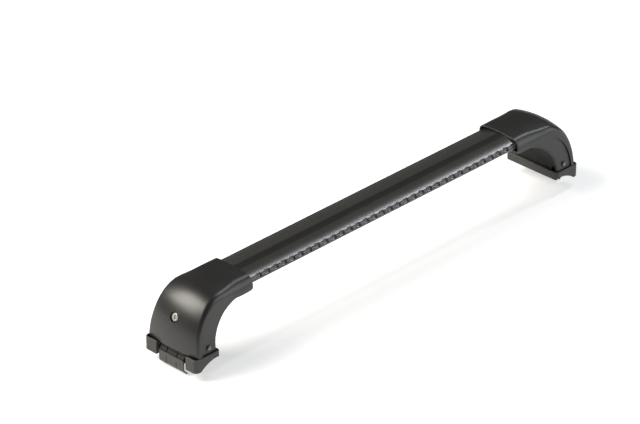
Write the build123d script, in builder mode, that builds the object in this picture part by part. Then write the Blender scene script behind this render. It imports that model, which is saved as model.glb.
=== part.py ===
from build123d import *
from math import cos, radians, sin, sqrt
import os

# Roof rack crossbar: a wing-section aluminium bar carried by two clamp feet.
# X runs along the bar, Y across it with the leading edge at -Y, Z is up, and z = 0 is the
# lowest point of the two claws. Lengths are in millimetres. Each foot is modelled once, on
# the +X side, and mirrored to the other end. "Out" means away from the middle of the bar.

# Bar extrusion: height of the nose, then the outline measured from it
bar_length = 776.0
bar_width = 80.0
nose_z = 120.3
bar_rise = 12.0          # nose up to the crown of the extrusion
bar_drop = 11.2          # nose down to the underside
tail_rise = 5.8          # nose up to the top of the trailing edge
tail_thickness = 4.5
bar_wall = 2.2
bar_floor = 4.8          # under the track, where the screws pass
nose_radius = 6.2
nose_upper = 114.0       # where the nose's arc ends above, in degrees from +Y
nose_lower = 250.0       # and below
nose_solid = 6.5         # depth of solid metal behind the leading edge

# T-track and its rubber infill
track_y = -5.6
track_opening = 11.0
track_channel = 23.0
channel_height = 6.5
track_lip = 2.3
strip_width = 16.0
strip_seat = 1.4         # depth of the seat that the strip lies in
strip_proud = 0.3
strip_clearance = 0.1
strip_gap = 0.3          # between the strip's end and the cover

# Dimples along the leading edge
dimple_count = 33
dimple_pitch = 19.2
dimple_inset = 87.5      # first dimple from the -X end; the row isn't centred on the bar
dimple_length = 11.0
dimple_height = 7.0
dimple_depth = 1.8
dimple_tilt = 38.0       # slope of a dimple's floor, nose side down
dimple_corner = 2.4
dimple_rise = 3.8        # of the row above the nose
dimple_back = 2.1        # and back from the leading edge

# Foot: the sections of its outside lie on planes that fan about one point. Places along the
# bar count from the bar's end, as overlaps and insets inwards and as reaches outwards.
mouth_overlap = 68.0     # from the mouth of the cover to the end of the bar
fan_overlap = 38.0
fan_below_nose = 79.8
inner_radius = 63.0      # concave inside of the foot, about the fan point
cover_height = 94.9      # from the fan point up to the flat top
foot_reach = 73.5        # outermost point of the cover
shoulder_reach = 11.0    # where the flat top turns into the ellipse of the outer face
shoulder_drop = 84.9     # from the top down to that ellipse's middle
foot_depth = 14.0        # how far the form runs on below the fan point
top_half_width = 46.0
base_half_width = 58.3
mouth_taper = 0.5
# Across the foot the outside is domed. These are its values at the base, the bend and the mouth.
front_crown = (5.0, 7.5, 5.0)    # how much lower than its middle the section is at its front
back_crown = (5.0, 6.2, 2.2)     # and at its back
front_corner = (4.5, 9.5, 19.0)
back_corner = (4.5, 9.0, 11.0)
least_corner = 1.0
inner_mouth_corner = 9.0
inner_shoulder_corner = 7.0
inner_foot_corner = 4.0
cover_wall = 2.2
fit_gap = 0.4            # between the cover and the casting
rim_gap = 0.3            # between the cover's lower edge and the pad's rim
mouth_round = 6.0        # lower corner of the cover at its mouth
mouth_edge = 0.8         # rounding of the rim of the mouth
panel_band = 14.0        # width of the cover's band beside the bare flank, at its foot
panel_inset = 3.0        # middle of that edge's ellipse
panel_drop = 20.9        # from the cover's top down to the edge of the bare flank
panel_rise = 7.0         # how much lower that edge lies where it starts
panel_start = 46.0       # where it starts

# Casting
cast_wall = 3.0
inner_wall = 4.0
saddle_floor = 4.0
saddle_inset = 3.0       # from the cover's mouth in to the casting
cheek_inset = 16.0       # and to the cheeks beside the bar
cheek_top = 1.8          # above the nose
boss_radius = 5.5
boss_depth = 2.8         # of the bosses' faces inside the widest flank
base_drop = 7.0          # from the fan point down to the underside
stop_wall = 4.0
bar_clearance = 0.3
rib_inside = 14.6        # inner faces of the two ribs that straddle the lever
rib_thickness = 3.0
window_half = 30.5       # opening above the claw
window_depth = 18.5
window_height = 7.5
slot_y = (43.0, 50.0)    # openings low in the inner wall
slot_height = 11.5

# Rubber pad
pad_proud = 2.5          # how far the pad stands out past the cover
pad_length = 55.0
pad_half_width = 60.0
pad_height = 23.6        # from the toe up to the rim
pad_rim_height = 7.3     # of the rim above the tray's floor
pad_heel_drop = 7.5      # from the tray's floor down to the heel
pad_floor_wall = 3.0
pad_toe_length = 12.0
pad_heel_length = 4.0
pad_arch_rise = 4.3      # of the arch below the tray, over the chord from toe to heel
pad_side_rim = 2.2
pad_inner_rim = 3.0
pad_outer_rim = 2.5
pad_corner = 8.0
pad_edge = 0.8
notch_front = 36.0       # opening in the rim above the claw
notch_back = 31.5
notch_depth = 12.0
ear_slot_depth = 21.0    # slots in the pad for the lever's ears
peg_radius = 3.0
peg_y = 40.0
peg_inset = 2.0          # from the pivot
peg_gap = 0.1

# Claw lever and its pivot
pivot_inset = 31.5       # from the outermost point of the cover
pivot_height = 16.5      # above the casting's underside
pin_radius = 2.5
pin_head_radius = 4.0
pin_head = 1.8
pin_dome = 1.4
running_gap = 0.05
claw_half_width = 28.0
claw_thickness = 2.5
claw_top = 27.5
claw_bend = 3.0
lip_length = 11.5
lip_angle = 45.0
ear_y = 11.6             # middle of each ear
ear_thickness = 3.0
ear_inset = 5.5          # of the ears' outer edge from the claw's face
ear_neck = 8.0           # width of the ears below the pivot
slit_width = 1.2
slit_top = 20.0
ear_radius = 8.0
ear_wall = 3.0           # around the nut

# Lock and tension screw, one axis that leans up and out
lock_inset = 12.0        # from the outermost point of the cover
lock_drop = 42.2         # and from its top
lock_tilt = 20.0
plug_radius = 9.0
plug_face = 0.3
plug_back = 11.5
core_radius = 6.6
cam_thickness = 1.5
cam_gap = 0.1
cam_rim = 1.2
cam_reach = 8.6
cam_width = 4.0
sleeve_wall = 1.9
plug_step = 0.5          # recess round the core
key_slot = (1.8, 8.0, 5.0)   # width, height and depth
catch_width = 1.6
catch_height = 1.2
screw_radius = 3.0
screw_head_radius = 5.0
screw_head = 4.0
screw_start = 14.2
screw_end = 42.0
hex_across = 5.0
washer_radius = 8.0
washer_thickness = 1.2
thrust_wall = 3.5
nut_radius = 5.0
nut_half_length = 14.2

# Screws that hold the bar down
hold_insets = (54.0, 36.0)   # from the end of the bar
hold_head_radius = 5.5
hold_radius = 3.0
head_sink = 0.3          # how far the heads lie below the casting's inside
hold_end = 119.5
nut_plate_length = 44.0
nut_plate_width = 22.0
nut_plate_thickness = 5.0

clear = 200.0            # size of a cut that has to pass right through

# Places and heights that follow from these
bar_end = bar_length / 2
mouth_x = bar_end - mouth_overlap
fan_x = bar_end - fan_overlap
fan_z = nose_z - fan_below_nose
cover_top = fan_z + cover_height
cover_reach = bar_end + foot_reach
shoulder_x = bar_end + shoulder_reach
shoulder_foot = cover_top - shoulder_drop
base_z = fan_z - base_drop
pad_rim_top = base_z + pad_rim_height
cover_bottom = pad_rim_top + rim_gap
panel_reach = cover_reach - panel_band
panel_x = bar_end - panel_inset
panel_top = cover_top - panel_drop
panel_start_x = bar_end - panel_start
panel_start_z = panel_top - panel_rise
saddle_x = mouth_x + saddle_inset
cheek_x = mouth_x + cheek_inset
boss_face = base_half_width - boss_depth
window_x = cover_reach - window_depth
window_top = base_z + window_height
pad_outer_x = cover_reach + pad_proud
pad_inner_x = pad_outer_x - pad_length
pad_toe = pad_rim_top - pad_height
pivot_x = cover_reach - pivot_inset
pivot_z = base_z + pivot_height
peg_x = pivot_x - peg_inset
claw_face_x = cover_reach
ear_edge_x = claw_face_x - ear_inset
lock_x = cover_reach - lock_inset
lock_z = cover_top - lock_drop
hold_screw_x = [bar_end - inset for inset in hold_insets]
strip_reach = mouth_x - strip_gap
dimple_start = dimple_inset - bar_end

os.makedirs("parts", exist_ok=True)


def save(piece, name):
    """Label a finished solid and write it as its own file."""
    piece.label = name
    export_step(piece, f"parts/{name}.step")


def save_pair(piece, name):
    """Write the +X piece and its mirror image at the other end of the bar."""
    with BuildPart() as other:
        mirror(piece, about=Plane.YZ)
    save(piece, f"{name}_right")
    save(other.part, f"{name}_left")


# Bar extrusion. The crown of the section lies over the track; heights count from the nose.
crown_z = nose_z + bar_rise
under_z = nose_z - bar_drop
half_width = bar_width / 2
tail_top = nose_z + tail_rise


def bar_outline():
    """The closed outline of the wing section, in the axes of the YZ plane."""
    with BuildSketch(Plane.YZ) as section:
        with BuildLine():
            tail = half_width - tail_thickness / 2
            nose = CenterArc(
                (-half_width + nose_radius, nose_z), nose_radius, nose_upper, nose_lower - nose_upper
            )
            front = TangentArc(nose @ 0, (track_y + strip_width / 2, crown_z), tangent=-(nose % 0))
            back = TangentArc(front @ 1, (tail, tail_top), tangent=front % 1)
            belly = TangentArc(nose @ 1, (track_y, under_z), tangent=nose % 1)
            rise = TangentArc(belly @ 1, (tail, tail_top - tail_thickness), tangent=belly % 1)
            ThreePointArc(back @ 1, (half_width, tail_top - tail_thickness / 2), rise @ 1)
        make_face()
    return section.sketch_local


def band(y_low, y_high, z_low, z_high):
    """A rectangle of the bar's section, clipped to its outline."""
    with BuildSketch(Plane.YZ) as piece:
        with Locations(((y_low + y_high) / 2, (z_low + z_high) / 2)):
            Rectangle(y_high - y_low, z_high - z_low)
        add(outline, mode=Mode.INTERSECT)
    return piece.sketch_local


channel_top = crown_z - strip_seat - track_lip
channel_floor = channel_top - channel_height
chamber_top = channel_floor - bar_wall
chamber_floor = under_z + bar_floor
web_left = track_y - track_channel / 2 - bar_wall
web_right = track_y + track_channel / 2 + bar_wall
outline = bar_outline()
webs = [
    band(-half_width, -half_width + nose_solid, under_z, crown_z),
    band(web_left, web_right, chamber_top, crown_z),
    band(web_left, web_right, under_z, chamber_floor),
    band(web_left, web_left + bar_wall, under_z, crown_z),
    band(web_right - bar_wall, web_right, under_z, crown_z),
]

with BuildSketch(Plane.YZ) as bar_section:
    add(outline)
    offset(amount=-bar_wall, mode=Mode.SUBTRACT)
    add(webs)
    with Locations((track_y, (channel_top + channel_floor) / 2)):
        Rectangle(track_channel, channel_height, mode=Mode.SUBTRACT)
    with Locations((track_y, crown_z)):
        Rectangle(track_opening, 2 * (crown_z - channel_floor) - 1, mode=Mode.SUBTRACT)
        Rectangle(strip_width, 2 * strip_seat, mode=Mode.SUBTRACT)


# Outside of a foot: sections on planes that fan about one point, from the upright one where
# the foot meets the bar (90 degrees) round to the level one above the pad (0 degrees), with
# one more plane at the mouth of the cover and one below the foot.
fan_angles = (90.0, 75.0, 60.0, 45.0, 30.0, 15.0, 0.0)


def outer_radius(angle):
    """Distance from the fan point to the outer face: a flat top, then a quarter ellipse."""
    along, up = cos(radians(angle)), sin(radians(angle))
    if up > 0 and (cover_top - fan_z) * along / up < shoulder_x - fan_x:
        return (cover_top - fan_z) / up
    half_x = cover_reach - shoulder_x
    half_z = cover_top - shoulder_foot
    start_x, start_z = fan_x - shoulder_x, fan_z - shoulder_foot
    a = (along / half_x) ** 2 + (up / half_z) ** 2
    b = 2 * (start_x * along / half_x**2 + start_z * up / half_z**2)
    c = (start_x / half_x) ** 2 + (start_z / half_z) ** 2 - 1
    return (-b + sqrt(b * b - 4 * a * c)) / (2 * a)


def along_fan(values, angle):
    """A smooth value between those at the base, the bend and the mouth."""
    base, bend, mouth = values
    t = angle / 90.0
    return base * (1 - t) * (1 - 2 * t) + bend * 4 * t * (1 - t) + mouth * t * (2 * t - 1)


def foot_section(angle, x, z, half, corner, insets):
    """One section of a foot on the plane through (x, z) at an angle above the horizontal."""
    side_inset, outer_inset, inner_inset = insets
    along, up = cos(radians(angle)), sin(radians(angle))
    plane = Plane(origin=(x, 0, z), x_dir=(0, 1, 0), z_dir=(up, 0, -along))
    y = half - side_inset
    low = inner_radius + inner_inset
    high = outer_radius(angle) - outer_inset
    front = (-y, high - along_fan(front_crown, angle))
    back = (y, high - along_fan(back_crown, angle))
    with BuildSketch(plane) as section:
        with BuildLine():
            ThreePointArc(front, (0, high), back)
            Polyline(back, (y, low), (-y, low), front)
        make_face()
        for side, radii in ((0, front_corner), (-1, back_corner)):
            outer_vertex = section.vertices().group_by(Axis.X)[side].sort_by(Axis.Y)[-1]
            fillet(outer_vertex, max(along_fan(radii, angle) - side_inset, least_corner))
        fillet(section.vertices().sort_by(Axis.Y)[:2], corner)
    return section.sketch


def foot_form(side_inset, outer_inset, inner_inset=0.0):
    """The solid form of a foot, with its flanks, outside and inside moved in."""
    insets = (side_inset, outer_inset, inner_inset)
    sections = []
    for step in (3, 2, 1):
        x = fan_x - step * (fan_x - mouth_x) / 2
        half = top_half_width - mouth_taper * step / 2
        corner = inner_shoulder_corner + (inner_mouth_corner - inner_shoulder_corner) * step / 2
        sections.append(foot_section(90.0, x, fan_z, half, corner, insets))
    for angle in fan_angles:
        share = (1 - angle / 90.0) ** 1.33
        half = top_half_width + (base_half_width - top_half_width) * share
        rounding = (angle / 90.0) ** 4
        corner = inner_foot_corner + (inner_shoulder_corner - inner_foot_corner) * rounding
        sections.append(foot_section(angle, fan_x, fan_z, half, corner, insets))
    below = fan_z - foot_depth
    sections.append(foot_section(0.0, fan_x, below, base_half_width, inner_foot_corner, insets))
    with BuildPart() as form:
        loft(sections)
        split(bisect_by=Plane.YZ.offset(mouth_x), keep=Keep.TOP)
    return form.part


# Axes and planes that several pieces share
lock_plane = Plane(
    origin=(lock_x, 0, lock_z),
    x_dir=(0, 1, 0),
    z_dir=(cos(radians(lock_tilt)), 0, sin(radians(lock_tilt))),
)


def depth_plane(depth):
    """The plane across the lock's axis at a depth below the face of the foot."""
    return lock_plane.offset(-depth)


def axis_point(depth):
    """A point on the lock's axis, as x and z."""
    return (lock_x - depth * cos(radians(lock_tilt)), lock_z - depth * sin(radians(lock_tilt)))


# The nut sits where the lever's arm stands square to the screw.
nut_depth = (lock_x - pivot_x) * cos(radians(lock_tilt)) + (lock_z - pivot_z) * sin(radians(lock_tilt))
nut_x, nut_z = axis_point(nut_depth)
washer_depth = screw_start + screw_head
thrust_depth = washer_depth + washer_thickness
cam_depth = plug_back + cam_gap
sleeve_end = cam_depth + cam_thickness + 0.2

cover_outside = foot_form(0, 0)
cover_inside = foot_form(cover_wall, cover_wall, -1.0)
casting_outside = foot_form(cover_wall + fit_gap, cover_wall + fit_gap)
casting_inside = foot_form(cover_wall + fit_gap + cast_wall, -cover_height / 4, inner_wall)
bar_space = offset(outline, amount=bar_clearance)

# Bar: the dimples are pockets with rounded corners, square to the slope of the nose.
dimple_plane = Plane(
    origin=(0, -half_width + dimple_back, nose_z + dimple_rise),
    x_dir=(1, 0, 0),
    z_dir=(0, -cos(radians(dimple_tilt)), sin(radians(dimple_tilt))),
)
with BuildPart() as bar:
    with BuildSketch(Plane.YZ.offset(-bar_end)):
        add(bar_section.sketch_local)
    extrude(amount=bar_length)
    with BuildSketch(dimple_plane.offset(-dimple_depth)):
        with Locations(*[(dimple_start + i * dimple_pitch, 0) for i in range(dimple_count)]):
            RectangleRounded(dimple_length, dimple_height, dimple_corner)
    extrude(amount=dimple_depth + nose_radius, mode=Mode.SUBTRACT)
    for side in (-1, 1):
        with BuildSketch(Plane.XY.offset(under_z - 1)):
            with Locations(*[(side * x, track_y) for x in hold_screw_x]):
                Circle(hold_radius + bar_clearance)
        extrude(amount=bar_floor + 2, mode=Mode.SUBTRACT)
save(bar.part, "bar")

# Rubber infill: a flat head in its seat and a stem with a barb under each lip of the track
with BuildPart() as strip:
    with BuildSketch(Plane.YZ.offset(-strip_reach)):
        head_z = crown_z - strip_seat
        stem = track_opening / 2 - strip_clearance
        barb_z = channel_top - strip_clearance
        with BuildLine():
            Polyline(
                (track_y - strip_width / 2 + strip_clearance, head_z),
                (track_y - stem, head_z),
                (track_y - stem, barb_z),
                (track_y - stem - 1.6, barb_z),
                (track_y - stem + 1.4, barb_z - 3.2),
                (track_y + stem - 1.4, barb_z - 3.2),
                (track_y + stem + 1.6, barb_z),
                (track_y + stem, barb_z),
                (track_y + stem, head_z),
                (track_y + strip_width / 2 - strip_clearance, head_z),
                (track_y + strip_width / 2 - strip_clearance, crown_z + strip_proud - 0.4),
                (track_y + strip_width / 2 - 2, crown_z + strip_proud),
                (track_y - strip_width / 2 + 2, crown_z + strip_proud),
                (track_y - strip_width / 2 + strip_clearance, crown_z + strip_proud - 0.4),
                close=True,
            )
        make_face()
    extrude(amount=2 * strip_reach)
save(strip.part, "track_strip")

# Cover: a thin shell of the foot's form, trimmed from the side along the bare flank
cover_sleeve = plug_radius + running_gap
with BuildPart() as sleeve:
    with BuildSketch(depth_plane(sleeve_end)):
        Circle(cover_sleeve + sleeve_wall)
    extrude(amount=sleeve_end + plug_radius)
    add(cover_outside, mode=Mode.INTERSECT)

with BuildPart() as cover:
    add(cover_outside)
    fillet(cover.faces().sort_by(Axis.X)[0].edges(), mouth_edge)
    add(cover_inside, mode=Mode.SUBTRACT)
    with BuildSketch(Plane.XZ):
        with BuildLine():
            corner_top = (mouth_x, panel_start_z + mouth_round)
            Line((mouth_x - 1, panel_start_z + mouth_round), corner_top)
            corner_end = (mouth_x + mouth_round, panel_start_z)
            RadiusArc(corner_top, corner_end, -mouth_round)
            Line(corner_end, (panel_start_x, panel_start_z))
            Spline((panel_start_x, panel_start_z), (panel_x, panel_top), tangents=[(1, 0), (1, 0)])
            EllipticalCenterArc(
                (panel_x, fan_z), panel_reach - panel_x, panel_top - fan_z, start_angle=0, arc_size=90
            )
            Polyline(
                (panel_reach, fan_z),
                (cover_reach + 5, fan_z),
                (cover_reach + 5, cover_top + 5),
                (mouth_x - 1, cover_top + 5),
                (mouth_x - 1, panel_start_z + mouth_round),
            )
        make_face()
    extrude(amount=base_half_width + 5, both=True, mode=Mode.INTERSECT)
    split(bisect_by=Plane.XY.offset(cover_bottom), keep=Keep.TOP)
    add(sleeve.part)
    with BuildSketch(depth_plane(sleeve_end + 1)):
        Circle(cover_sleeve)
    extrude(amount=sleeve_end + 1 + plug_radius, mode=Mode.SUBTRACT)
    with BuildSketch(depth_plane(plug_back - 0.2)):
        with Locations((0, -cover_sleeve + catch_height / 2 - 0.2)):
            Rectangle(catch_width, catch_height + 0.4)
    extrude(amount=2.5)
save_pair(cover.part, "foot_cover")

# Casting: first the hollow inside it, then the casting around the hollow
floor_z = under_z - bar_clearance - saddle_floor
wall_x = bar_end + bar_clearance
with BuildPart() as hollow:
    add(casting_inside)
    with BuildSketch(Plane.XZ):
        with Locations((wall_x + stop_wall, floor_z)):
            Rectangle(clear, clear, align=(Align.MAX, Align.MIN))
        with Locations((wall_x, base_z + cast_wall)):
            Rectangle(clear, clear, align=(Align.CENTER, Align.MAX))
    extrude(amount=base_half_width, both=True, mode=Mode.SUBTRACT)
    for side in (-1, 1):
        with BuildSketch(Plane.XZ.offset(side * (rib_inside + rib_thickness / 2))):
            with Locations((fan_x + inner_radius, fan_z + inner_radius)):
                Rectangle(clear, clear)
        extrude(amount=rib_thickness / 2, both=True, mode=Mode.SUBTRACT)
    with BuildSketch(depth_plane(thrust_depth + thrust_wall)):
        with Locations((0, 1.5)):
            Rectangle(2 * rib_inside + rib_thickness, 23)
        with Locations(*[(side * (ear_y + 0.2), -0.75) for side in (-1, 1)]):
            Rectangle(2 * (rib_inside - ear_y) - 0.4, 20.5, mode=Mode.SUBTRACT)
    extrude(amount=thrust_wall, mode=Mode.SUBTRACT)

with BuildPart() as casting:
    add(casting_outside)
    add(hollow.part, mode=Mode.SUBTRACT)
    with BuildSketch(Plane.XZ):
        with Locations((wall_x, nose_z + cheek_top), (cheek_x, under_z), (saddle_x, fan_z)):
            Rectangle(clear, clear, align=(Align.MAX, Align.MIN))
        with Locations((wall_x, base_z)):
            Rectangle(clear, clear, align=(Align.CENTER, Align.MAX))
    extrude(amount=base_half_width + 1, both=True, mode=Mode.SUBTRACT)
    with BuildSketch(Plane.YZ.offset(saddle_x - 5)):
        add(bar_space)
    extrude(amount=wall_x - saddle_x + 5, mode=Mode.SUBTRACT)
    with BuildSketch(Plane.XY.offset(base_z - 1)):
        with Locations((window_x, 0)):
            Rectangle(clear, 2 * window_half, align=(Align.MIN, Align.CENTER))
    extrude(amount=window_height + 1, mode=Mode.SUBTRACT)
    with BuildSketch(Plane.XY.offset(base_z + cast_wall)):
        for side in (-1, 1):
            with Locations((fan_x + inner_radius, side * (slot_y[0] + slot_y[1]) / 2)):
                Rectangle(2 * inner_wall + 1, slot_y[1] - slot_y[0])
    extrude(amount=slot_height, mode=Mode.SUBTRACT)
    with BuildSketch(Plane.XY.offset(base_z - 1)):
        with Locations((pivot_x - ear_radius - 3, 0)):
            Rectangle(clear, 2 * rib_inside, align=(Align.MIN, Align.CENTER))
        with Locations((peg_x, -peg_y), (peg_x, peg_y)):
            Circle(peg_radius + peg_gap)
    extrude(amount=cast_wall + 2, mode=Mode.SUBTRACT)
    for side in (-1, 1):
        with BuildSketch(Plane.XZ.offset(side * boss_face)):
            with Locations((pivot_x, pivot_z)):
                Circle(boss_radius)
        extrude(amount=-side * 2 * cast_wall)
    with BuildSketch(Plane.XZ):
        with Locations((pivot_x, pivot_z)):
            Circle(pin_radius + running_gap)
    extrude(amount=base_half_width, both=True, mode=Mode.SUBTRACT)
    with BuildSketch(depth_plane(thrust_depth + thrust_wall + 1)):
        Circle(screw_radius + 0.4)
    extrude(amount=thrust_wall + 2, mode=Mode.SUBTRACT)
    with Locations(*[Location((x, track_y, fan_z + inner_radius)) for x in hold_screw_x]):
        with Locations(Location((0, 0, 0), (180, 0, 0))):
            CounterSinkHole(
                hold_radius + bar_clearance, hold_head_radius + head_sink + running_gap,
                depth=15, counter_sink_angle=90,
            )
save_pair(casting.part, "foot_casting")

# Rubber pad: a tray that the foot stands in, arched underneath to lie on a roof rail
with BuildPart() as pad:
    with BuildSketch(Plane.XZ):
        with BuildLine():
            toe = (pad_outer_x - pad_toe_length, pad_toe)
            heel = (pad_inner_x + pad_heel_length, base_z - pad_floor_wall)
            arch_middle = (
                (toe[0] + heel[0]) / 2 + pad_arch_rise, base_z - pad_floor_wall - pad_arch_rise
            )
            Polyline(
                heel,
                (pad_inner_x, base_z - pad_heel_drop),
                (pad_inner_x, pad_rim_top),
                (pad_outer_x, pad_rim_top),
                (pad_outer_x, pad_toe),
                toe,
            )
            ThreePointArc(toe, arch_middle, heel)
        make_face()
    extrude(amount=pad_half_width, both=True)
    fillet(pad.edges().filter_by(Axis.Z).group_by(Axis.X)[-1], pad_corner)
    fillet(pad.edges().filter_by(Axis.Z).group_by(Axis.X)[0], pad_corner - 2)
    with BuildSketch(Plane.XY.offset(base_z)):
        with Locations((pad_inner_x + pad_inner_rim, 0)):
            RectangleRounded(
                pad_length - pad_outer_rim - pad_inner_rim, 2 * (pad_half_width - pad_side_rim),
                pad_corner - pad_side_rim, align=(Align.MIN, Align.CENTER),
            )
    extrude(amount=2 * pad_rim_height, mode=Mode.SUBTRACT)
    chamfer(pad.faces().sort_by(Axis.Z)[-1].outer_wire().edges(), pad_edge)
    with BuildSketch(Plane.XY.offset(pad_toe - 1)):
        with Locations((pad_outer_x - notch_depth, (notch_back - notch_front) / 2)):
            Rectangle(clear, notch_front + notch_back, align=(Align.MIN, Align.CENTER))
        with Locations(*[(pad_outer_x - ear_slot_depth, side * ear_y) for side in (-1, 1)]):
            Rectangle(ear_slot_depth, ear_thickness + 1.2, align=(Align.MIN, Align.CENTER))
    extrude(amount=pad_height + 2, mode=Mode.SUBTRACT)
    with BuildSketch(Plane.XY.offset(base_z)):
        with Locations((peg_x, -peg_y), (peg_x, peg_y)):
            Circle(peg_radius)
    extrude(amount=2 * cast_wall)
save_pair(pad.part, "rubber_pad")

# Claw: a folded plate slit into three fingers, and two ears that make it a lever
with BuildPart() as claw:
    with BuildSketch(Plane.XZ):
        with BuildLine():
            reach = lip_length * sin(radians(lip_angle))
            drop = lip_length * cos(radians(lip_angle))
            FilletPolyline(
                (claw_face_x, claw_top), (claw_face_x, drop), (claw_face_x - reach, 0),
                radius=claw_bend + claw_thickness,
            )
            offset(amount=claw_thickness, side=Side.RIGHT)
        make_face()
    extrude(amount=claw_half_width, both=True)
    with BuildSketch(Plane.XY):
        with Locations((claw_face_x, -ear_y), (claw_face_x, ear_y)):
            Rectangle(lip_length * 4, slit_width)
    extrude(amount=slit_top, mode=Mode.SUBTRACT)
    for side in (-1, 1):
        with BuildSketch(Plane.XZ.offset(side * ear_y)):
            with Locations((pivot_x, pivot_z)):
                Circle(ear_radius)
            with Locations((nut_x, nut_z)):
                Circle(nut_radius + ear_wall)
            make_hull()
            with BuildLine():
                Polyline(
                    (claw_face_x - claw_thickness, slit_top),
                    (claw_face_x - claw_thickness, claw_top),
                    (ear_edge_x, claw_top + 3),
                    (ear_edge_x, pivot_z - 5),
                    (pivot_x, pivot_z + ear_radius),
                    (pivot_x, pivot_z - ear_radius),
                    (ear_edge_x - ear_neck, pivot_z - ear_radius - 5),
                    (ear_edge_x - 1.5, slit_top),
                    close=True,
                )
            make_face()
            with Locations((pivot_x, pivot_z)):
                Circle(pin_radius + running_gap, mode=Mode.SUBTRACT)
            with Locations((nut_x, nut_z)):
                SlotOverall(
                    2 * nut_radius + 1.4, 2 * (nut_radius + running_gap),
                    rotation=90 + lock_tilt, mode=Mode.SUBTRACT,
                )
        extrude(amount=ear_thickness / 2, both=True)
save_pair(claw.part, "claw_lever")

# Pivot pin, with a domed head on each flank of the casting
with BuildPart() as pin:
    with BuildSketch(Plane.XZ):
        with Locations((pivot_x, pivot_z)):
            Circle(pin_radius)
    extrude(amount=boss_face, both=True)
    for side in (-1, 1):
        with BuildSketch(Plane.XZ.offset(side * boss_face)):
            with Locations((pivot_x, pivot_z)):
                Circle(pin_head_radius)
        extrude(amount=side * pin_head)
    fillet(pin.edges().filter_by(GeomType.CIRCLE).group_by(Axis.Y)[0], pin_dome)
    fillet(pin.edges().filter_by(GeomType.CIRCLE).group_by(Axis.Y)[-1], pin_dome)
save_pair(pin.part, "pivot_pin")

# Tension screw with a hexagon socket, its washer and the barrel nut that it pulls on
with BuildPart() as screw:
    with BuildSketch(depth_plane(washer_depth - running_gap)):
        Circle(screw_head_radius)
    extrude(amount=screw_head - running_gap)
    fillet(screw.edges().filter_by(GeomType.CIRCLE).sort_by(Axis.Z)[-1], 0.5)
    with BuildSketch(depth_plane(screw_end)):
        Circle(screw_radius)
    extrude(amount=screw_end - washer_depth + running_gap)
    with BuildSketch(depth_plane(screw_start + 2.5)):
        RegularPolygon(hex_across / sqrt(3), 6)
    extrude(amount=4, mode=Mode.SUBTRACT)
save_pair(screw.part, "tension_screw")

with BuildPart() as washer:
    with BuildSketch(depth_plane(thrust_depth)):
        Circle(washer_radius)
        Circle(screw_radius + 0.3, mode=Mode.SUBTRACT)
    extrude(amount=washer_thickness)
save_pair(washer.part, "thrust_washer")

with BuildPart() as nut:
    with BuildSketch(Plane.XZ):
        with Locations((nut_x, nut_z)):
            Circle(nut_radius)
    extrude(amount=nut_half_length, both=True)
    chamfer(nut.edges().filter_by(GeomType.CIRCLE), 0.6)
    with BuildSketch(depth_plane(nut_depth + 2 * nut_radius)):
        Circle(screw_radius + running_gap)
    extrude(amount=4 * nut_radius, mode=Mode.SUBTRACT)
save_pair(nut.part, "barrel_nut")

# Lock: a keyed plug that slides in the cover's sleeve, its core and the cam behind it
with BuildPart() as plug:
    with BuildSketch(depth_plane(plug_back)):
        Circle(plug_radius)
        Circle(core_radius + running_gap, mode=Mode.SUBTRACT)
        with Locations((0, -plug_radius)):
            Rectangle(catch_width + 0.6, 2 * catch_height + 0.8, mode=Mode.SUBTRACT)
    extrude(amount=plug_back - plug_face)
    with BuildSketch(depth_plane(plug_face + plug_step)):
        Circle(plug_radius - 1)
        Circle(core_radius + running_gap, mode=Mode.SUBTRACT)
    extrude(amount=1, mode=Mode.SUBTRACT)
save_pair(plug.part, "lock_plug")

with BuildPart() as core:
    with BuildSketch(depth_plane(cam_depth)):
        Circle(core_radius)
    extrude(amount=cam_depth - plug_face)
    with BuildSketch(depth_plane(plug_face + key_slot[2])):
        RectangleRounded(key_slot[0], key_slot[1], key_slot[0] / 3)
    extrude(amount=key_slot[2] + 1, mode=Mode.SUBTRACT)
save_pair(core.part, "lock_core")

with BuildPart() as cam:
    with BuildSketch(depth_plane(cam_depth + cam_thickness)):
        Circle(core_radius + cam_rim)
        Rectangle(cam_reach, cam_width, align=(Align.MIN, Align.CENTER))
    extrude(amount=cam_thickness)
save_pair(cam.part, "lock_cam")

# Screws up through the casting into a nut plate inside the bar
with BuildPart() as nut_plate:
    with BuildSketch(Plane.XY.offset(chamber_floor)):
        with Locations(((hold_screw_x[0] + hold_screw_x[1]) / 2, track_y)):
            RectangleRounded(nut_plate_length, nut_plate_width, 2)
        with Locations(*[(x, track_y) for x in hold_screw_x]):
            Circle(hold_radius + running_gap, mode=Mode.SUBTRACT)
    extrude(amount=nut_plate_thickness)
save_pair(nut_plate.part, "nut_plate")

under_foot = fan_z + inner_radius
with BuildPart() as hold_screws:
    for x in hold_screw_x:
        with BuildSketch(Plane.XZ.offset(-track_y)):
            with BuildLine():
                Polyline(
                    (x, under_foot + head_sink),
                    (x + hold_head_radius, under_foot + head_sink),
                    (x + hold_radius, under_foot + head_sink + hold_head_radius - hold_radius),
                    (x + hold_radius, hold_end),
                    (x, hold_end),
                    close=True,
                )
            make_face()
        revolve(axis=Axis((x, track_y, 0), (0, 0, 1)))
    with BuildSketch(Plane.XY.offset(under_foot - 1)):
        with Locations(*[(x, track_y) for x in hold_screw_x]):
            RegularPolygon(2.3, 6)
    extrude(amount=3, mode=Mode.SUBTRACT)
save_pair(hold_screws.part, "bar_screws")
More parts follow.
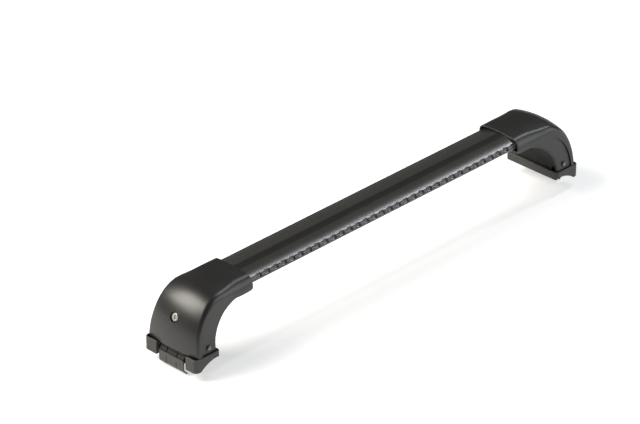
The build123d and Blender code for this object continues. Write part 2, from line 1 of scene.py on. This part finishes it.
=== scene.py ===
import bmesh
import bpy
import numpy as np
from math import atan2, cos, pi, radians, sin
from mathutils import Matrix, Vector


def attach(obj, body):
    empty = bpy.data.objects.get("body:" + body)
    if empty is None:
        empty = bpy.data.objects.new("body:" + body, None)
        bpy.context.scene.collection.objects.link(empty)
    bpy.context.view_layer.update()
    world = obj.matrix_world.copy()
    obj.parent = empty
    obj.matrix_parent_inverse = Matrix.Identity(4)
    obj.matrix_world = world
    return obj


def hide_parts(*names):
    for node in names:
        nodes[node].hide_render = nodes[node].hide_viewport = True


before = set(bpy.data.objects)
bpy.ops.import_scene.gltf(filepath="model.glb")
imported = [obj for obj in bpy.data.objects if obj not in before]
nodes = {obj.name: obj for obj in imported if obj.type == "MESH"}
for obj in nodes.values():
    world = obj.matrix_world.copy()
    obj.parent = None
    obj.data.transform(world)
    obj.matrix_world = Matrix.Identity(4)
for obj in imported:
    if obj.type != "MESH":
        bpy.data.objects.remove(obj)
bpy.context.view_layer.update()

# Studio: the crossbar stands on a pale floor and is seen from above its leading edge, from the
# left. A warm box lights it from the far left, a narrow strip from over the right end, and a
# large dim box from the front right.
camera_place = (-3.8367, -3.6260, 3.0574)
camera_pitch = 29.22
camera_heading = 45.705
camera_lens = 204.0
camera_data = bpy.data.cameras.new("photo_camera")
camera_data.sensor_width = 36.0
camera_data.lens = camera_lens
camera_data.clip_end = 50.0
camera = bpy.data.objects.new("photo_camera", camera_data)
camera.location = camera_place
camera.rotation_euler = (radians(90 - camera_pitch), 0, radians(-camera_heading))
bpy.context.scene.collection.objects.link(camera)
bpy.context.scene.camera = camera
bpy.context.scene.view_settings.view_transform = "Standard"

room_colour = (0.11, 0.11, 0.11, 1)
room = bpy.data.worlds.new("room")
room.use_nodes = True
room.node_tree.nodes["Background"].inputs["Color"].default_value = room_colour
bpy.context.scene.world = room


def soft_box(name, towards, distance, width, height, power, colour):
    """An area lamp that looks at the middle of the bar from a direction."""
    lamp = bpy.data.lights.new(name, "AREA")
    lamp.shape = "RECTANGLE"
    lamp.size = width
    lamp.size_y = height
    lamp.energy = power
    lamp.color = colour
    place = Vector(towards).normalized() * distance
    holder = bpy.data.objects.new(name, lamp)
    holder.location = place
    holder.rotation_euler = place.to_track_quat("Z", "Y").to_euler()
    bpy.context.scene.collection.objects.link(holder)


soft_box("tall_box_far_left", towards=(-0.53, 0.42, 0.67), distance=3.2,
         width=1.8, height=1.9, power=155, colour=(1.0, 0.95, 0.87))
soft_box("strip_over_right_end", towards=(0.625, 0.04, 0.775), distance=3.4,
         width=0.22, height=1.6, power=27, colour=(0.93, 0.96, 1.0))
soft_box("box_front_right", towards=(0.61, -0.66, 0.40), distance=3.6,
         width=2.8, height=2.5, power=62, colour=(0.93, 0.97, 1.0))

# Floor: a wide plain sheet of pale board under the claws. It glows a little, so that it stays
# pale where the soft boxes don't reach it.
floor_half_width = 12000
floor_cells = 24
floor_colour = (0.66, 0.66, 0.66, 1)
floor_roughness = 0.9
floor_glow = 0.52
edge_angle = 40.0        # faces that meet at more than this keep a crisp edge


def new_mesh(name, points, faces):
    """An object at the origin from points in millimetres and lists of corners."""
    mesh = bpy.data.meshes.new(name)
    mesh.from_pydata((np.asarray(points, float) / 1000.0).tolist(), [], [list(f) for f in faces])
    mesh.validate()
    shell = bmesh.new()
    shell.from_mesh(mesh)
    bmesh.ops.recalc_face_normals(shell, faces=shell.faces)
    shell.to_mesh(mesh)
    shell.free()
    mesh.shade_smooth()
    mesh.set_sharp_from_angle(angle=radians(edge_angle))
    piece = bpy.data.objects.new(name, mesh)
    bpy.context.scene.collection.objects.link(piece)
    return piece


def floor_points(half, cells):
    """A square grid at z = 0."""
    line = np.linspace(-half, half, cells + 1)
    x, y = np.meshgrid(line, line, indexing="ij")
    return np.stack([x, y, np.zeros_like(x)], -1)


def grid_faces(rows, columns, wrap=False):
    """Quads between neighbours of a grid whose points count along its rows; wrap closes a row."""
    last = columns if wrap else columns - 1
    r, c = np.meshgrid(np.arange(rows - 1), np.arange(last), indexing="ij")
    a, b = r * columns + c, r * columns + (c + 1) % columns
    return np.stack([a, b, b + columns, a + columns], -1).reshape(-1, 4)


floor = new_mesh("studio_floor", floor_points(floor_half_width, floor_cells).reshape(-1, 3),
                 grid_faces(floor_cells + 1, floor_cells + 1))
floor_paint = bpy.data.materials.new("pale_floor")
floor_paint.use_nodes = True
floor_shader = floor_paint.node_tree.nodes["Principled BSDF"]
floor_shader.inputs["Base Color"].default_value = floor_colour
floor_shader.inputs["Roughness"].default_value = floor_roughness
floor_shader.inputs["Specular IOR Level"].default_value = 0.0
floor_shader.inputs["Emission Color"].default_value = (1, 1, 1, 1)
floor_shader.inputs["Emission Strength"].default_value = floor_glow
floor.data.materials.append(floor_paint)

# Bar: a wing-section aluminium extrusion with an open track along its top, powder coated satin
# black. The row of dimples is pressed into its nose as pockets with rounded corners and sloping
# walls. Both ends run into the feet.
half_bar, half_bar_width = 388.0, 40.0
nose_z, bar_nose = 120.3, 6.2
crown_z, under_z, track_y = 132.3, 109.1, -5.6
mouth_half_width = 8.0   # of the track, at the crown
crown_until = -13.7      # the front crown's own points end just before the mouth
tail_z, tail_radius, tail_sweep = 126.1, 2.25, 80.0
nose_top, nose_bottom = 114.0, 250.0     # angles at which the nose meets the crown and belly
track_outline = ((-13.6, 130.9), (-11.1, 130.9), (-11.1, 128.6), (-17.1, 128.6), (-17.1, 122.1),
                 (5.9, 122.1), (5.9, 128.6), (-0.1, 128.6), (-0.1, 130.9), (2.4, 130.9))
dimple_start, dimple_pitch, dimple_count = -300.5, 19.2, 33
dimple_half_length, dimple_half_height, dimple_corner = 6.2, 4.6, 3.2
dimple_middle, dimple_wall, dimple_deep = 3.6, 2.2, 2.5
dimple_span = 6.0        # half the length of outline that a dimple may touch
plain_from, plain_to = -322, 325         # the plain ends of the bar begin here
points_on = {"nose": 40, "front_crown": 60, "back_crown": 22, "tail": 9, "front_belly": 16,
             "back_belly": 18}
dimple_stations = (-6.4, -6.0, -5.6, -5.2, -4.8, -4.4, -4.0, -3.4, -2.0, 0,
                   2.0, 3.4, 4.0, 4.4, 4.8, 5.2, 5.6, 6.0, 6.4)


def group_socket(group, name, kind, way, value=None):
    """Adds a named input or output to a shader node group."""
    socket = group.interface.new_socket(name, in_out=way, socket_type=kind)
    if value is not None:
        socket.default_value = value
    return socket


def maths(tree, operation, clamp=False, **values):
    """A Math node; values are given as a, b and c for its three inputs."""
    node = tree.new("ShaderNodeMath")
    node.operation = operation
    node.use_clamp = clamp
    for key, value in values.items():
        node.inputs["abc".index(key)].default_value = value
    return node


def mottle_group():
    """Colour and roughness that vary a little: each is scaled or shifted by patches of noise."""
    group = bpy.data.node_groups.new("mottle", "ShaderNodeTree")
    group_socket(group, "Colour", "NodeSocketColor", "INPUT", (0.05, 0.05, 0.05, 1))
    group_socket(group, "Variation", "NodeSocketFloat", "INPUT", 0.2)
    group_socket(group, "Patch Size", "NodeSocketFloat", "INPUT", 30.0)
    group_socket(group, "Roughness", "NodeSocketFloat", "INPUT", 0.5)
    group_socket(group, "Gloss Variation", "NodeSocketFloat", "INPUT", 0.05)
    group_socket(group, "Colour", "NodeSocketColor", "OUTPUT")
    group_socket(group, "Roughness", "NodeSocketFloat", "OUTPUT")
    tree, link = group.nodes, group.links.new
    given, result = tree.new("NodeGroupInput"), tree.new("NodeGroupOutput")
    place = tree.new("ShaderNodeTexCoord")
    broad = tree.new("ShaderNodeTexNoise")
    broad.inputs["Detail"].default_value = 4.0
    link(place.outputs["Object"], broad.inputs["Vector"])
    link(given.outputs["Patch Size"], broad.inputs["Scale"])
    swing = maths(tree, "MULTIPLY_ADD", b=2.0, c=-1.0)
    link(broad.outputs["Fac"], swing.inputs[0])
    share = maths(tree, "MULTIPLY_ADD", c=1.0)
    link(swing.outputs[0], share.inputs[0])
    link(given.outputs["Variation"], share.inputs[1])
    tint = tree.new("ShaderNodeVectorMath")
    tint.operation = "SCALE"
    link(given.outputs["Colour"], tint.inputs[0])
    link(share.outputs[0], tint.inputs["Scale"])
    link(tint.outputs[0], result.inputs["Colour"])
    gloss = maths(tree, "MULTIPLY_ADD", clamp=True)
    link(swing.outputs[0], gloss.inputs[0])
    link(given.outputs["Gloss Variation"], gloss.inputs[1])
    link(given.outputs["Roughness"], gloss.inputs[2])
    link(gloss.outputs[0], result.inputs["Roughness"])
    return group


def grain_group():
    """Height of a fine texture: noise, stretched along each axis by its own share."""
    group = bpy.data.node_groups.new("grain", "ShaderNodeTree")
    group_socket(group, "Stretch", "NodeSocketVector", "INPUT", (1.0, 1.0, 1.0))
    group_socket(group, "Grain Size", "NodeSocketFloat", "INPUT", 900.0)
    group_socket(group, "Height", "NodeSocketFloat", "OUTPUT")
    tree, link = group.nodes, group.links.new
    given, result = tree.new("NodeGroupInput"), tree.new("NodeGroupOutput")
    place = tree.new("ShaderNodeTexCoord")
    stretch = tree.new("ShaderNodeVectorMath")
    stretch.operation = "MULTIPLY"
    link(place.outputs["Object"], stretch.inputs[0])
    link(given.outputs["Stretch"], stretch.inputs[1])
    noise = tree.new("ShaderNodeTexNoise")
    noise.inputs["Detail"].default_value = 3.0
    link(stretch.outputs[0], noise.inputs["Vector"])
    link(given.outputs["Grain Size"], noise.inputs["Scale"])
    link(noise.outputs["Fac"], result.inputs["Height"])
    return group


mottle = mottle_group()
grain = grain_group()


def finish(name, colour, roughness, variation=0.15, gloss_variation=0.05, patch=25.0,
           grain_size=900.0, grain_depth=0.0, stretch=(1, 1, 1), metallic=0.0, specular=0.5):
    """A material: mottled colour and gloss, with an optional bump of fine grain, in metres."""
    material = bpy.data.materials.new(name)
    material.use_nodes = True
    tree, link = material.node_tree.nodes, material.node_tree.links.new
    shader = tree["Principled BSDF"]
    shader.inputs["Metallic"].default_value = metallic
    shader.inputs["Specular IOR Level"].default_value = specular
    patches = tree.new("ShaderNodeGroup")
    patches.node_tree = mottle
    patches.inputs["Colour"].default_value = (*colour, 1)
    patches.inputs["Variation"].default_value = variation
    patches.inputs["Patch Size"].default_value = patch
    patches.inputs["Roughness"].default_value = roughness
    patches.inputs["Gloss Variation"].default_value = gloss_variation
    link(patches.outputs["Colour"], shader.inputs["Base Color"])
    link(patches.outputs["Roughness"], shader.inputs["Roughness"])
    if grain_depth:
        texture = tree.new("ShaderNodeGroup")
        texture.node_tree = grain
        texture.inputs["Stretch"].default_value = stretch
        texture.inputs["Grain Size"].default_value = grain_size
        bump = tree.new("ShaderNodeBump")
        bump.inputs["Strength"].default_value = 1.0
        bump.inputs["Distance"].default_value = grain_depth
        link(texture.outputs["Height"], bump.inputs["Height"])
        link(bump.outputs["Normal"], shader.inputs["Normal"])
    return material


def dress(name, material):
    """Gives a solid of the model its finish."""
    slots = nodes[name].data.materials
    slots.clear()
    slots.append(material)


def ease(value, low, high):
    """0 below low, 1 above high and smooth between."""
    t = np.clip((value - low) / (high - low), 0, 1)
    return t * t * (3 - 2 * t)


def tangent_arc(start, way, end, count):
    """Points of the arc from start, leaving along way, to end, and the way it arrives."""
    start, way, end = (np.asarray(v, float) for v in (start, way, end))
    way = way / np.linalg.norm(way)
    side, chord = np.array((-way[1], way[0])), end - start
    radius = chord @ chord / (2 * chord @ side)
    centre = start + side * radius
    first = atan2(*(start - centre)[::-1])
    turn = 2 * atan2(chord @ side, chord @ way)
    angle = first + np.linspace(0, turn, count)
    points = centre + abs(radius) * np.stack([np.cos(angle), np.sin(angle)], 1)
    arrives = (cos(turn) * way[0] - sin(turn) * way[1], sin(turn) * way[0] + cos(turn) * way[1])
    return points, np.array(arrives)


def nose_point(degrees):
    """A point of the rounded nose and the way the outline runs there, tail to nose to crown."""
    a = radians(degrees)
    place = (-half_bar_width + bar_nose + bar_nose * cos(a), nose_z + bar_nose * sin(a))
    return place, (sin(a), -cos(a))


def bar_section():
    """The closed outline in YZ: arcs for nose, crown, tail and belly, and lines for the track.

    The points on the nose come first, and their number is given with the outline."""
    tail_y = half_bar_width - tail_radius
    top_start, top_way = nose_point(nose_top)
    front, front_way = tangent_arc(top_start, top_way, (track_y + mouth_half_width, crown_z),
                                   points_on["front_crown"])
    back = tangent_arc(front[-1], front_way, (tail_y, tail_z), points_on["back_crown"])[0]
    low_start, low_way = nose_point(nose_bottom)
    belly, belly_way = tangent_arc(low_start, -np.array(low_way), (track_y, under_z),
                                   points_on["front_belly"])
    rise = tangent_arc(belly[-1], belly_way, (tail_y, tail_z - 2 * tail_radius),
                       points_on["back_belly"])[0]
    turn = np.radians(np.linspace(nose_bottom, nose_top, points_on["nose"]))
    nose = np.stack([-half_bar_width + bar_nose + bar_nose * np.cos(turn),
                     nose_z + bar_nose * np.sin(turn)], 1)
    turn = np.radians(np.linspace(tail_sweep, -tail_sweep, points_on["tail"]))
    tail = np.stack([tail_y + tail_radius * np.cos(turn),
                     tail_z - tail_radius + tail_radius * np.sin(turn)], 1)
    kept = front[front[:, 0] < crown_until]
    mouth_y = track_y - mouth_half_width
    edge = [(mouth_y, np.interp(mouth_y, front[:, 0], front[:, 1]))]
    outline = [nose, kept[1:], edge, track_outline, back, tail, rise[::-1], belly[::-1][1:-1]]
    return np.concatenate(outline), len(nose)


# Lengths along the outline, counted down from the top of the nose, place the dimples on it. A
# dimple gets deeper with the distance inside its rim, a rectangle with round corners.
section, nose_count = bar_section()
step = np.linalg.norm(np.diff(section, axis=0), axis=1)
run = np.concatenate([[0], np.cumsum(step)])
from_top = run[nose_count - 1] - run
before, after = np.roll(section, 1, axis=0), np.roll(section, -1, axis=0)
inward = np.stack([(after - before)[:, 1], -(after - before)[:, 0]], 1)
inward /= np.linalg.norm(inward, axis=1)[:, None]

dimple_x = dimple_start + dimple_pitch * np.arange(dimple_count)
bar_x = np.concatenate([[-half_bar, plain_from],
                        (dimple_x[:, None] + np.array(dimple_stations)).ravel(),
                        [plain_to, half_bar]])
nearest = np.abs(bar_x[:, None] - dimple_x).min(axis=1)
from_middle = np.abs(from_top - dimple_middle)
past_x = np.maximum(nearest - (dimple_half_length - dimple_corner), 0)
past_s = np.maximum(from_middle - (dimple_half_height - dimple_corner), 0)
depth_in = dimple_corner - np.hypot(past_x[:, None], past_s[None, :])
press = dimple_deep * ease(depth_in, 0, dimple_wall) * (from_middle < dimple_span)
bar_points = np.empty((len(bar_x), len(section), 3))
bar_points[..., 0] = bar_x[:, None]
bar_points[..., 1:] = section + inward * press[..., None]
rows, columns = bar_points.shape[:2]
bar_faces = grid_faces(rows, columns, wrap=True).tolist()
bar_faces += [list(range(columns)), [(rows - 1) * columns + i for i in range(columns)]]

bar_paint = finish("bar_powder_coat", (0.025, 0.025, 0.0232), roughness=0.25, specular=0.6)
dress("bar", bar_paint)
bar_shell = new_mesh("bar_extrusion", bar_points.reshape(-1, 3), bar_faces)
bar_shell.data.materials.append(bar_paint)
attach(bar_shell, "bar_and_feet")
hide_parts("bar")

# Track infill: one extruded rubber strip, matt black, pushed into the bar's track. It stands
# just proud of the crown, so that a load lies on rubber.
strip_rubber = finish("strip_rubber", (0.009, 0.009, 0.0085), roughness=0.52, specular=0.25)
dress("track_strip", strip_rubber)

# Foot covers: moulded black plastic shells with a fine satin grain, one over each casting, with
# the lock's sleeve moulded into the outer face.
ends = {"right": 1, "left": -1}          # and the sign of X there
cover_plastic = finish("cover_plastic", (0.011, 0.011, 0.0105), roughness=0.36,
                       grain_size=1500.0, grain_depth=0.00003)
for side in ends:
    dress(f"foot_cover_{side}", cover_plastic)

# Foot castings: die-cast aluminium brackets, powder coated black, which show on the flanks of
# the foot beside the cover. The arched inner wall is duller than the rest, and its colour is
# painted darker and warmer there as painted shade.
bore_centre, bore_radius = (0.350, 0.0405), 0.063
bore_edge = (0.0004, 0.0001)             # beyond the radius, where the change starts and ends
# share and warmth that multiply the inner wall's colour as painted shade; the roughness there is
# the wall's own
bore_shade_share, bore_shade_warmth, bore_roughness = 0.3, (1.0, 0.96, 0.88), 0.85


def paint_bore_shade(material):
    """Painted shade: darkens and warms a finish's colour inside a radius about an axis along Y,
    alike at both ends, and dulls its gloss there.
    """
    tree, link = material.node_tree.nodes, material.node_tree.links.new
    shader, patches = tree["Principled BSDF"], tree["Group"]
    place = tree.new("ShaderNodeTexCoord")
    parts = tree.new("ShaderNodeSeparateXYZ")
    link(place.outputs["Object"], parts.inputs[0])
    outwards = maths(tree, "ABSOLUTE")
    link(parts.outputs["X"], outwards.inputs[0])
    joined = tree.new("ShaderNodeCombineXYZ")
    link(outwards.outputs[0], joined.inputs["X"])
    link(parts.outputs["Z"], joined.inputs["Z"])
    away = tree.new("ShaderNodeVectorMath")
    away.operation = "DISTANCE"
    away.inputs[1].default_value = (bore_centre[0], 0, bore_centre[1])
    link(joined.outputs[0], away.inputs[0])
    inside = tree.new("ShaderNodeMapRange")
    inside.inputs["From Min"].default_value = bore_radius + bore_edge[0]
    inside.inputs["From Max"].default_value = bore_radius + bore_edge[1]
    link(away.outputs["Value"], inside.inputs["Value"])
    tint = tree.new("ShaderNodeMix")
    tint.data_type = "RGBA"
    tint.blend_type = "MULTIPLY"
    tint.inputs["B"].default_value = (*(bore_shade_share * warm for warm in bore_shade_warmth), 1)
    link(inside.outputs[0], tint.inputs["Factor"])
    link(patches.outputs["Colour"], tint.inputs["A"])
    link(tint.outputs["Result"], shader.inputs["Base Color"])
    gloss = tree.new("ShaderNodeMix")
    gloss.data_type = "FLOAT"
    gloss.inputs["B"].default_value = bore_roughness
    link(inside.outputs[0], gloss.inputs["Factor"])
    link(patches.outputs["Roughness"], gloss.inputs["A"])
    link(gloss.outputs["Result"], shader.inputs["Roughness"])


cast_paint = finish("casting_powder_coat", (0.018, 0.019, 0.019), roughness=0.42)
paint_bore_shade(cast_paint)
for side in ends:
    dress(f"foot_casting_{side}", cast_paint)

# Rubber pads: moulded matt black rubber under each casting, arched to lie on the roof's rail
# and held by a rim that stands up round the foot.
pad_rubber = finish("pad_rubber", (0.036, 0.036, 0.033), roughness=0.62,
                    grain_size=1400.0, grain_depth=0.00003)
for side in ends:
    dress(f"rubber_pad_{side}", pad_rubber)

# Tightening gear: the pressed steel claw, coated black, turns on a steel pin across the
# casting. A zinc plated screw pulls on a barrel nut in its ears. Zinc plated screws and a nut
# plate hold the bar.
claw_paint = finish("claw_coat", (0.038, 0.038, 0.035), roughness=0.45)
pin_steel = finish("pin_steel", (0.16, 0.16, 0.155), roughness=0.34, metallic=1.0)
zinc = finish("zinc_plate", (0.60, 0.59, 0.56), roughness=0.35, metallic=1.0)
zinc_pieces = ("tension_screw", "thrust_washer", "barrel_nut", "bar_screws", "nut_plate")
for side in ends:
    dress(f"claw_lever_{side}", claw_paint)
    dress(f"pivot_pin_{side}", pin_steel)
    for name in zinc_pieces:
        dress(f"{name}_{side}", zinc)

# Upper web of the claw: three steel fingers that go on from the plate, step in and run up
# behind the cover's lower edge. Each is one section swept across its width, and ends low enough
# to clear the cover and casting as the claw opens.
web_path = np.array([(460.2, 27.2), (460.0, 28.6), (459.0, 30.2), (457.6, 31.6), (456.6, 33.2),
                     (456.2, 34.8), (456.2, 36.6), (456.2, 38.4)])
web_half_thickness = 1.0
web_round_off, web_edge_thinning, web_edge_points = 0.8, 0.6, 4
web_fingers = ((-28.0, -12.2), (-11.0, 11.0), (12.2, 28.0))


def swept_band(path, half_thickness, low, high, round_off):
    """The path in XZ moved half a thickness to each side, swept along Y from low to high.

    The thickness falls off over quarter turns at the two side edges."""
    along = np.gradient(path, axis=0)
    along /= np.linalg.norm(along, axis=1)[:, None]
    normal = np.stack([along[:, 1], -along[:, 0]], 1)
    turns = np.linspace(0, pi / 2, web_edge_points)
    insets = round_off * (1 - np.sin(turns))
    insets = np.concatenate([insets, insets[::-1]])
    from_edge = round_off * (1 - np.cos(turns))
    stations = np.concatenate([low + from_edge, (high - from_edge)[::-1]])
    reach = half_thickness - insets * half_thickness / round_off * web_edge_thinning
    offset = normal * reach[:, None, None]
    outline = np.concatenate([path + offset, (path - offset)[:, ::-1]], axis=1)
    across = np.broadcast_to(stations[:, None], outline.shape[:2])
    return np.stack([outline[..., 0], across, outline[..., 1]], -1)


# Painted shade: the web is the claw's own coated steel, but its coat is painted darker than the
# claw's for the shade it sits in behind the cover's lower edge.
web_shade_coat = finish("web_shade_coat", (0.012, 0.012, 0.011), roughness=0.55, specular=0.2)
for side, sign in ends.items():
    points, faces = [], []
    for low, high in web_fingers:
        loops = swept_band(web_path, web_half_thickness, low, high, web_round_off)
        rows, columns = loops.shape[:2]
        first = sum(len(p) for p in points)
        last = first + (rows - 1) * columns
        points.append(loops.reshape(-1, 3) * (sign, 1, 1))
        faces += (grid_faces(rows, columns, wrap=True) + first).tolist()
        faces += [list(range(first, first + columns)), list(range(last, last + columns))]
    web = new_mesh(f"claw_web_{side}", np.concatenate(points), faces)
    web.data.materials.append(web_shade_coat)
    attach(web, f"claw_{side}")

# Lock: a black plug, a die-cast core plated in satin nickel and a zinc plated cam. The face is
# a flat disc with a bevelled rim and a key slot, in a dark rounded bezel. Both are turned round
# the lock's axis, in front of the core and plug that they belong to.
lock_tilt = radians(20.0)                # of the lock's axis above the horizontal
lock_origin = np.array((449.5, 0.0, 93.2))
lock_out = np.array((cos(lock_tilt), 0.0, sin(lock_tilt)))
lock_up = np.array((-sin(lock_tilt), 0.0, cos(lock_tilt)))
lock_seat = -0.5         # where face and bezel start, behind the surface of the plug
slot_half_width, slot_half_height, slot_depth = 0.9, 4.0, 2.2
slot_side_wall, slot_end_wall = (0.25, 0.15), (0.3, 0.2)     # inside and outside those sizes
face_height = 2.0
face_profile = [(0.01, face_height)] + [(r, face_height) for r in np.linspace(0.3, 5.9, 23)]
face_profile += [(6.2, face_height - 0.1), (6.45, face_height - 0.35), (6.5, face_height - 0.7),
                 (6.5, lock_seat)]
bezel_profile = [(6.6, lock_seat), (6.6, 1.0), (6.75, 1.35), (7.1, 1.5), (7.9, 1.5),
                 (8.5, 1.35), (8.85, 0.9), (8.9, 0.4), (8.9, lock_seat)]


def turned_grid(profile, columns=72):
    """Radius, height and angle of each point of a profile, turned a full circle in even steps."""
    profile = np.asarray(profile, float)
    angle = np.linspace(0, 2 * pi, columns, endpoint=False)
    radius = np.repeat(profile[:, :1], columns, 1)
    height = np.repeat(profile[:, 1:], columns, 1)
    return radius, height, np.broadcast_to(angle, radius.shape)


def on_lock(radius, height, angle, sign):
    """The lock's origin, plus radius times cosine along Y and sine along up, plus height outwards.

    The sign mirrors the point to its own end of the bar."""
    across = (radius * np.cos(angle))[..., None] * np.array((0.0, 1.0, 0.0))
    up = (radius * np.sin(angle))[..., None] * lock_up
    return (lock_origin + across + up + height[..., None] * lock_out) * (sign, 1, 1)


def turned_piece(name, places, sign, material):
    """A piece turned round the lock's axis: a closed ring of quads between neighbouring circles."""
    piece = new_mesh(name, on_lock(*places, sign).reshape(-1, 3),
                     grid_faces(*places[0].shape, wrap=True))
    piece.data.materials.append(material)
    return piece


bezel_paint = finish("bezel_paint", (0.012, 0.012, 0.012), roughness=0.30)
nickel = finish("satin_nickel", (0.46, 0.45, 0.41), roughness=0.42, metallic=1.0)
radius, height, angle = turned_grid(face_profile)
across, up = radius * np.cos(angle), radius * np.sin(angle)
within_sides = 1 - ease(np.abs(across), slot_half_width - slot_side_wall[0],
                        slot_half_width + slot_side_wall[1])
within_ends = 1 - ease(np.abs(up), slot_half_height - slot_end_wall[0],
                       slot_half_height + slot_end_wall[1])
face_places = (radius, height - slot_depth * (within_sides * within_ends), angle)
for side, sign in ends.items():
    dress(f"lock_plug_{side}", bezel_paint)
    dress(f"lock_core_{side}", nickel)
    dress(f"lock_cam_{side}", zinc)
    face = turned_piece(f"lock_face_{side}", face_places, sign, nickel)
    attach(face, f"core_{side}")
    bezel = turned_piece(f"lock_bezel_{side}", turned_grid(bezel_profile), sign, bezel_paint)
    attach(bezel, f"lock_{side}")
